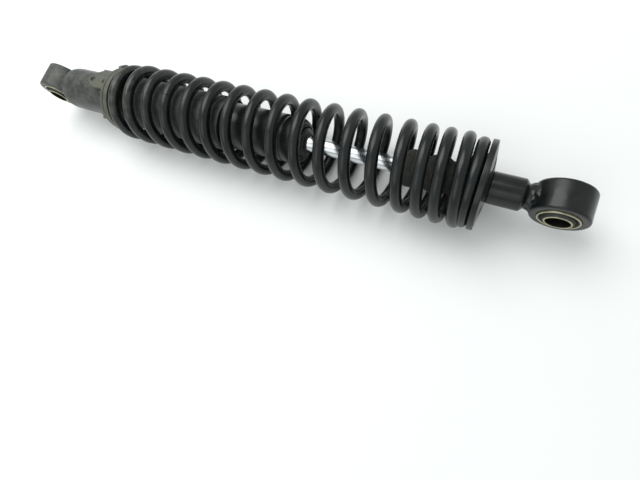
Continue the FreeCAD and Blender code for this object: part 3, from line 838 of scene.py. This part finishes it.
# ---------------------------------------------------------------- preload adjuster
class SHOCK_OT_preload(bpy.types.Operator):
    """Make the stepped ring, the spring's lower seat and the guide sleeve"""

    bl_idname = "shock.preload"
    bl_label = "Preload adjuster"

    def execute(self, context):
        s = context.scene.shock_preload
        self.ring(s)
        self.seat(s)
        self.sleeve()
        return {"FINISHED"}

    def edge(self, s, angle, pin_x, mid_r, pin_r):
        """The ring's stepped edge: a ramp with round notches and a rounded tip."""
        lobe = math.pi
        lift = s.step / s.step_angle
        slope = math.atan(lift / mid_r)
        past = (angle - s.wall_angle) % lobe
        pin_past = (PIN_ANGLE - s.wall_angle) % lobe
        contact = pin_x + (pin_r + 0.3 * MM) / math.cos(slope)
        x = contact + lift * (pin_past - past)
        for i in range(s.notches):
            off = (past - pin_past - (i - s.notch_now) * s.step_angle) * mid_r / pin_r
            if abs(off) < 1:
                x += s.notch_depth * math.cos(off * math.pi / 2)
        tip = contact + lift * (pin_past - lobe)
        to_wall = (lobe - past) * mid_r
        if to_wall < s.tip:
            x = max(x, tip + s.tip - math.sqrt(s.tip ** 2 - (s.tip - to_wall) ** 2))
        return x

    def ring(self, s):
        """The ring as a dense skin, with its spanner holes pressed in."""
        inner = radius("damper_tube") + s.play
        outer = inner + s.wall
        rim = outer + s.flare
        top = end("preload_cam_ring")
        pin_low, pin_high = start("cam_stop_pins"), end("cam_stop_pins")
        pin_x = (pin_low + pin_high) / 2
        soft, rim_soft, hole_soft = 0.35 * MM, 0.9 * MM, 0.3 * MM
        flare, skin_top = top - s.flare_length, top - rim_soft
        hole_turn = s.wall_angle - math.radians(21)
        holes = [(hole_turn + n * math.pi, pin_x + x * MM) for n in range(2) for x in (1.0, 12.6)]
        count, steps = 540, 34
        rings = []
        for i in range(count):
            a = math.tau * i / count
            low = self.edge(s, a, pin_x, (inner + outer) / 2, (pin_high - pin_low) / 2)
            ring = [(low, inner + 0.2 * MM), (low, outer - soft), (low + soft * 0.35, outer - soft * 0.35)]
            for k in range(steps + 1):
                x, r = low + soft + (skin_top - low - soft) * k / steps, outer
                if x > flare:
                    r += s.flare * smoothstep((x - flare) / (skin_top - flare)) ** 0.9
                for hole_a, hole_x in holes:
                    away = (a - hole_a + math.pi) % math.tau - math.pi
                    reach = math.hypot(away * outer, x - hole_x)
                    r -= s.hole_depth * smoothstep((s.hole + hole_soft - reach) / (2 * hole_soft))
                ring.append((x, r))
            ring += [(top - 0.5 * MM, rim - 0.1 * MM), (top - 0.1 * MM, rim - 0.5 * MM), (top, rim - 0.8 * MM)]
            ring += [(top, inner + 0.3 * MM), (top - 0.3 * MM, inner), ((top + low) / 2, inner)]
            rings.append([around(a, r, x) for x, r in ring])
        bm = bmesh.new()
        grid(bm, rings)
        ring = new_piece("preload_ring", bm, 40)
        roughen(ring, 0.12 * MM, 5 * MM, 5)
        dress(ring, "preload_ring", "dull_zinc", "preload_cam_ring")

    def seat(self, s):
        """The lower seat washer with a small tab on its rim."""
        low, high = start("lower_spring_seat"), end("lower_spring_seat")
        inner = radius("damper_tube") + s.play
        r = spring_radius() - 3.7 * MM
        tab_angle, tab_half, tab_ramp = math.radians(48), math.radians(7.4), 0.02
        tab_reach = 1.5 * MM
        outline = spaced(rounded([
            (low, inner, 0.3), (low, r - 1.8 * MM, 0.8), (low + 1.5 * MM, r, 0.8),
            (high, r, 0.5), (high, r - 3.0 * MM, 0.8), (high, inner, 0.3),
        ]), 0.8 * MM)
        count = 360
        rings = []
        for i in range(count):
            a = math.tau * i / count
            off = abs((a - tab_angle + math.pi) % math.tau - math.pi)
            tab = tab_reach * smoothstep((tab_half + tab_ramp - off) / (2 * tab_ramp))
            ring = []
            for p in outline:
                on_rim = p.y > r - 1.0 * MM and low + 1.0 * MM < p.x < high - 0.5 * MM
                ring.append(around(a, p.y + tab if on_rim else p.y, p.x))
            rings.append(ring)
        bm = bmesh.new()
        grid(bm, rings)
        seat = new_piece("spring_seat_lower", bm, 40)
        roughen(seat, 0.08 * MM, 6 * MM, 6)
        dress(seat, "preload_seat", "dull_zinc", "lower_spring_seat")

    def sleeve(self):
        """The moulded sleeve inside the spring, with a shallow groove near its end."""
        low, high = start("spring_guide_sleeve"), end("spring_guide_sleeve")
        r = radius("spring_guide_sleeve")
        inner, groove = r - 1.5 * MM, r - 0.35 * MM
        sleeve = turned("guide_sleeve", [
            (low, inner, 0), (low, r, 0.3), (high - 8 * MM, r, 0), (high - 7.4 * MM, groove, 0.2),
            (high - 6.2 * MM, groove, 0.2), (high - 5.6 * MM, r, 0.2), (high, r, 0.7),
            (high, inner, 0.3),
        ], 160, gap=3 * MM)
        dress(sleeve, "preload_seat", "black_plastic", "spring_guide_sleeve")


# ---------------------------------------------------------------- spring
class SHOCK_OT_spring(bpy.types.Operator):
    """Wind the coil spring"""

    bl_idname = "shock.spring"
    bl_label = "Coil spring"

    def pitch(self, s, turn):
        """Rise per turn: dead end coils, open lower coils, tighter upper coils."""
        taper = smoothstep((turn - s.taper_start) / (s.taper_end - s.taper_start))
        pitch = s.open_pitch + (s.tight_pitch - s.open_pitch) * taper
        from_end = min(turn, s.turns - turn)
        if from_end < 0:
            return 0.0
        return s.dead_pitch + (pitch - s.dead_pitch) * min(from_end / s.ramp, 1.0)

    def centre_line(self, s):
        """Points of the wire's centre line with their turn numbers."""
        low, high = end("lower_spring_seat"), start_of_upper_seat()
        outer = spring_radius() - s.wire / 2
        per_turn = 56
        count = round((s.turns + s.lying) * per_turn)
        turns = [(s.turns + s.lying) * i / count for i in range(count + 1)]
        rise = [0.0]
        for a, b in zip(turns, turns[1:]):
            rise.append(rise[-1] + self.pitch(s, (a + b) / 2) * (b - a))
        scale = (high - low - s.wire) / rise[-1]
        points = []
        for turn, x in zip(turns, rise):
            ends = smoothstep(min(turn, s.turns - turn) / s.ramp)
            r = outer - s.inset * (1 - ends)
            points.append(around(s.start_angle + math.tau * turn, r, low + s.wire / 2 + x * scale))
        return turns, points

    def wire(self, s, name, points):
        """The bar along part of the centre line."""
        refs = [Vector((0, p.y, p.z)) for p in points]
        radii = [s.wire / 2 - SKIN_GAP - 0.05 * MM * abs(noise.noise(p * 60)) for p in points]
        return swept(name, points, refs, radii, 28)

    def execute(self, context):
        s = context.scene.shock_spring
        turns, points = self.centre_line(s)
        cut = next(i for i, t in enumerate(turns) if t >= s.flexing_turns)
        lower = self.wire(s, "coil_spring_lower", points[:cut + 1])
        upper = self.wire(s, "coil_spring_main", points[cut:])
        dress(lower, None, "spring_black", "coil_spring")
        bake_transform(lower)
        dress(upper, "damper_body", "spring_black", "coil_spring")
        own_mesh(upper)
        return {"FINISHED"}


# ---------------------------------------------------------------- rod and upper seat
class SHOCK_OT_rod(bpy.types.Operator):
    """Make the rod, the bump stop and its washer"""

    bl_idname = "shock.rod"
    bl_label = "Rod and bump stop"

    def execute(self, context):
        r = radius("piston_rod")
        self.rod(r)
        self.bump_stop(context.scene.shock_damper, r + SKIN_GAP)
        self.washer(r + SKIN_GAP)
        return {"FINISHED"}

    def rod(self, r):
        """The chromed rod with its thinner end in the piston."""
        low, high, shoulder = start("piston_rod"), end("piston_rod"), end("shim_back_plate")
        thin, soft = r - 1.0 * MM, 0.8 * MM
        rod = turned("chromed_rod", [
            (low, 0, 0), (low, thin - soft, 0), (low + soft, thin, 0), (shoulder, thin, 0),
            (shoulder, r, 0.2), (high, r, 0.2), (high, 0, 0),
        ], 160, gap=6 * MM)
        dress(rod, "rod_assembly", "hard_chrome", "piston_rod")

    def washer(self, bore):
        """The washer between the bump stop and the upper disc."""
        low, high, r = start("bump_stop_washer"), end("bump_stop_washer"), radius("bump_stop_washer")
        washer = turned("bump_washer", [
            (low, bore, 0.1), (low, r, 0.6), (high, r, 0.2), (high, bore, 0.1)], 128)
        dress(washer, "rod_assembly", "machined_steel", "bump_stop_washer")

    def bump_stop(self, s, bore):
        """The waisted rubber bump stop, built at rest, though the real one is squeezed against the damper at
        full stroke.
        """
        low, high, r = start("bump_stop"), end("bump_stop"), radius("bump_stop")
        bulges = 3
        step = (high - low) / bulges
        outline = [(low, bore, 0.4), (low, r - 3.0 * MM, 1.2)]
        for i in range(bulges):
            x = low + i * step
            outline += [(x + step * 0.22, r, 2.0), (x + step * 0.78, r, 2.0)]
            if i < bulges - 1:
                outline.append((x + step, r - s.waist, 1.6))
        outline += [(high, r - 0.5 * MM, 0.5), (high, bore, 0)]
        stop = turned("bump_stop_rubber", outline, 128, gap=1.2 * MM)
        roughen(stop, 0.15 * MM, 4 * MM, 8)
        dress(stop, "rod_assembly", "bump_rubber", "bump_stop")
        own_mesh(stop)


def cutter(name, middle, spread, r, half, x0, x1):
    """A curved slot's solid, with round ends."""
    outline = []
    for side in (1, -1):
        for k in range(25):
            outline.append((middle + side * spread * (k / 24 - 0.5), r + side * half))
        for k in range(1, 12):
            t = math.pi * k / 12
            along = spread / 2 + math.sin(t) * half / r
            outline.append((middle + side * along, r + side * math.cos(t) * half))
    bm = bmesh.new()
    rows = grid(bm, [[around(a, q, x) for a, q in outline] for x in (x0, x1)], False)
    bm.faces.new(rows[0])
    bm.faces.new(rows[1][::-1])
    return new_piece(name, bm)


def cut_away(piece, solid):
    """Cuts a solid out of a piece, and removes the solid."""
    cut = piece.modifiers.new("slot", "BOOLEAN")
    cut.object = solid
    cut.operation = "DIFFERENCE"
    cut.solver = "EXACT"
    graph = bpy.context.evaluated_depsgraph_get()
    mesh = bpy.data.meshes.new_from_object(piece.evaluated_get(graph))
    piece.modifiers.clear()
    whole = piece.data
    piece.data = mesh
    bpy.data.meshes.remove(whole)
    bpy.data.objects.remove(solid)
    bm = bmesh.new()
    bm.from_mesh(mesh)
    shade_edges(bm)
    bm.to_mesh(mesh)
    bm.free()


class SHOCK_OT_upper_seat(bpy.types.Operator):
    """Make the slotted upper disc and the collar behind it"""

    bl_idname = "shock.upper_seat"
    bl_label = "Upper seat"

    def execute(self, context):
        self.disc()
        self.collar()
        return {"FINISHED"}

    def disc(self):
        """The crowned disc with three curved slots."""
        face = start_of_upper_seat()
        low, crown = start("upper_spring_seat"), end("upper_spring_seat")
        r = radius("upper_spring_seat")
        edge, rim = crown - 2.2 * MM, r - SKIN_GAP
        pilot = spring_radius() - 9.6 * MM
        pilot_bore, hub = pilot - 2.0 * MM, 7.0 * MM
        disc = turned("upper_seat_disc", [
            (face, rim, 0.4), (edge, rim, 0.5), (crown, 9.3 * MM, 0.6), (crown, hub, 0),
            (face, hub, 0), (face, pilot_bore, 0.3), (low, pilot_bore, 0.4), (low, pilot, 0.8),
            (face, pilot, 0.3),
        ], 240, gap=1.6 * MM)
        for i in range(3):
            middle = math.radians(66 + 120 * i)
            cut_away(disc, cutter("slot_%d" % i, middle, math.radians(46), r - 9.7 * MM, 1.8 * MM,
                                  face + 1.0 * MM, crown + 5 * MM))
        dress(disc, "rod_assembly", "gloss_black", "upper_spring_seat")

    def collar(self):
        """The collar with its chamfered end and the neck that runs into the eye."""
        low, crown = start_of_upper_seat(), end("upper_spring_seat")
        stop = crown + 16.9 * MM
        root = MOUNTS["upper_eye_bore"].x - radius("upper_eye_ring") + 3.2 * MM
        r, bore = radius("upper_collar") - SKIN_GAP, radius("piston_rod") + SKIN_GAP
        spigot, chamfer = 6.95 * MM, 2.2 * MM
        collar = turned("rod_collar", [
            (low, bore, 0), (low, spigot, 0), (crown, spigot, 0), (crown, r, 0.5), (stop, r, 0.5),
            (stop + chamfer, NECK_RADIUS, 0.8), (root, NECK_RADIUS, 0.2), (root, bore, 0),
        ], 192, gap=1.5 * MM)
        roughen(collar, 0.06 * MM, 10 * MM, 9)
        dress(collar, "rod_assembly", "gloss_black", "upper_collar")


class SHOCK_OT_inside(bpy.types.Operator):
    """Give the CAD pieces that stay their finishes"""

    bl_idname = "shock.inside"
    bl_label = "Inner pieces"

    def execute(self, context):
        slots = {p["node"]: p["material_slot"] for p in frame["record"]["subparts"]}
        for name, node in frame["nodes"].items():
            node.data.materials.clear()
            node.data.materials.append(FINISHES[slots[name]])
        return {"FINISHED"}


# ---------------------------------------------------------------- stage
class SHOCK_OT_stage(bpy.types.Operator):
    """Set up the table top, the soft light and the camera"""

    bl_idname = "shock.stage"
    bl_label = "Stage"

    def execute(self, context):
        s = context.scene.shock_stage
        self.floor(s)
        self.lights(s)
        self.camera(s)
        context.scene.view_settings.view_transform = "Standard"
        return {"FINISHED"}

    def floor(self, s):
        """A plain pale table top just under the shock."""
        bm = bmesh.new()
        half = s.floor_size / 2
        z = CAD_BOX[0][2] - 0.2 * MM
        corners = [(-half, -half), (half, -half), (half, half), (-half, half)]
        middle = CAD_BOX[1][0] / 2
        bm.faces.new([bm.verts.new((middle + x, y, z)) for x, y in corners])
        floor = new_piece("table_top", bm)
        f = Finish("table_white")
        f.set(Base_Color=f.mix(f.between(f.noise(0.25, 3), 0.3, 0.7), rgba(s.floor), rgba(s.floor, 0.985)))
        f.set(Roughness=0.55, Specular_IOR_Level=0.3)
        floor.data.materials.append(FINISHES["table_white"])

    def area(self, name, power, size, place, target, tint):
        """A square soft light aimed at a point."""
        light = bpy.data.lights.new(name, "AREA")
        light.energy = power
        light.size = size
        light.color = tint
        lamp = bpy.data.objects.new(name, light)
        lamp.location = place
        lamp.rotation_euler = (target - place).to_track_quat("-Z", "Y").to_euler()
        bpy.context.scene.collection.objects.link(lamp)

    def lights(self, s):
        """A broad light above, a weaker one at the side and even light from all round."""
        middle = Vector((CAD_BOX[1][0] / 2, 0, 0))
        self.area("key", s.key, 0.7, middle + Vector((-0.28, 0.24, 0.75)), middle, (1.0, 1.0, 1.0))
        self.area("fill", s.fill, 0.9, middle + Vector((-0.2, -0.8, 0.75)), middle, (0.97, 1.0, 0.99))
        world = bpy.data.worlds.new("even_light")
        world.use_nodes = True
        back = world.node_tree.nodes["Background"]
        back.inputs["Color"].default_value = (0.96, 1.0, 0.985, 1.0)
        back.inputs["Strength"].default_value = s.sky
        bpy.context.scene.world = world

    def camera(self, s):
        """The camera above the upper eye, looking back along the shock."""
        az, el = s.azimuth, s.elevation
        forward = Vector((-math.sin(az) * math.cos(el), math.cos(az) * math.cos(el), -math.sin(el)))
        level = forward.cross(Vector((0, 0, 1))).normalized()
        upright = level.cross(forward)
        right = level * math.cos(s.roll) + upright * math.sin(s.roll)
        up = upright * math.cos(s.roll) - level * math.sin(s.roll)
        turn = Matrix((right, up, -forward)).transposed().to_4x4()
        data = bpy.data.cameras.new("camera")
        data.lens = s.lens
        data.sensor_width = 36.0
        data.clip_start = 0.01
        camera = bpy.data.objects.new("camera", data)
        camera.matrix_world = Matrix.Translation(MOUNTS["upper_eye_bore"] + Vector(s.offset)) @ turn
        bpy.context.scene.collection.objects.link(camera)
        bpy.context.scene.camera = camera


# ---------------------------------------------------------------- add-on
OPERATORS = (
    SHOCK_OT_finishes, SHOCK_OT_inside, SHOCK_OT_damper, SHOCK_OT_lower_eye, SHOCK_OT_upper_eye, SHOCK_OT_welds,
    SHOCK_OT_preload, SHOCK_OT_spring, SHOCK_OT_rod, SHOCK_OT_upper_seat, SHOCK_OT_stage,
)
GROUPS = {
    "shock_spring": ShockSpringSettings,
    "shock_damper": ShockDamperSettings,
    "shock_preload": ShockPreloadSettings,
    "shock_eyes": ShockEyeSettings,
    "shock_colours": ShockColours,
    "shock_stage": ShockStageSettings,
}


class SHOCK_PT_panel(bpy.types.Panel):
    """Buttons for every piece of the shock absorber"""

    bl_idname = "SHOCK_PT_panel"
    bl_label = "Shock absorber"
    bl_space_type = "VIEW_3D"
    bl_region_type = "UI"
    bl_category = "Shock"

    def draw(self, context):
        for operator in OPERATORS:
            self.layout.operator(operator.bl_idname)
        for name, group in GROUPS.items():
            box = self.layout.box()
            for key in group.__annotations__:
                box.prop(getattr(context.scene, name), key)


def register():
    """Registers the classes and hangs the settings on the scene."""
    for group in GROUPS.values():
        bpy.utils.register_class(group)
    for operator in OPERATORS:
        bpy.utils.register_class(operator)
    bpy.utils.register_class(SHOCK_PT_panel)
    for name, group in GROUPS.items():
        setattr(bpy.types.Scene, name, PointerProperty(type=group))


def unregister():
    """Takes everything off again."""
    for name in GROUPS:
        delattr(bpy.types.Scene, name)
    bpy.utils.unregister_class(SHOCK_PT_panel)
    for operator in reversed(OPERATORS):
        bpy.utils.unregister_class(operator)
    for group in reversed(GROUPS.values()):
        bpy.utils.unregister_class(group)


def main():
    """Builds the whole shock absorber and its stage."""
    register()
    for operator in OPERATORS:
        group, name = operator.bl_idname.split(".")
        getattr(getattr(bpy.ops, group), name)()


if __name__ == "__main__":
    main()
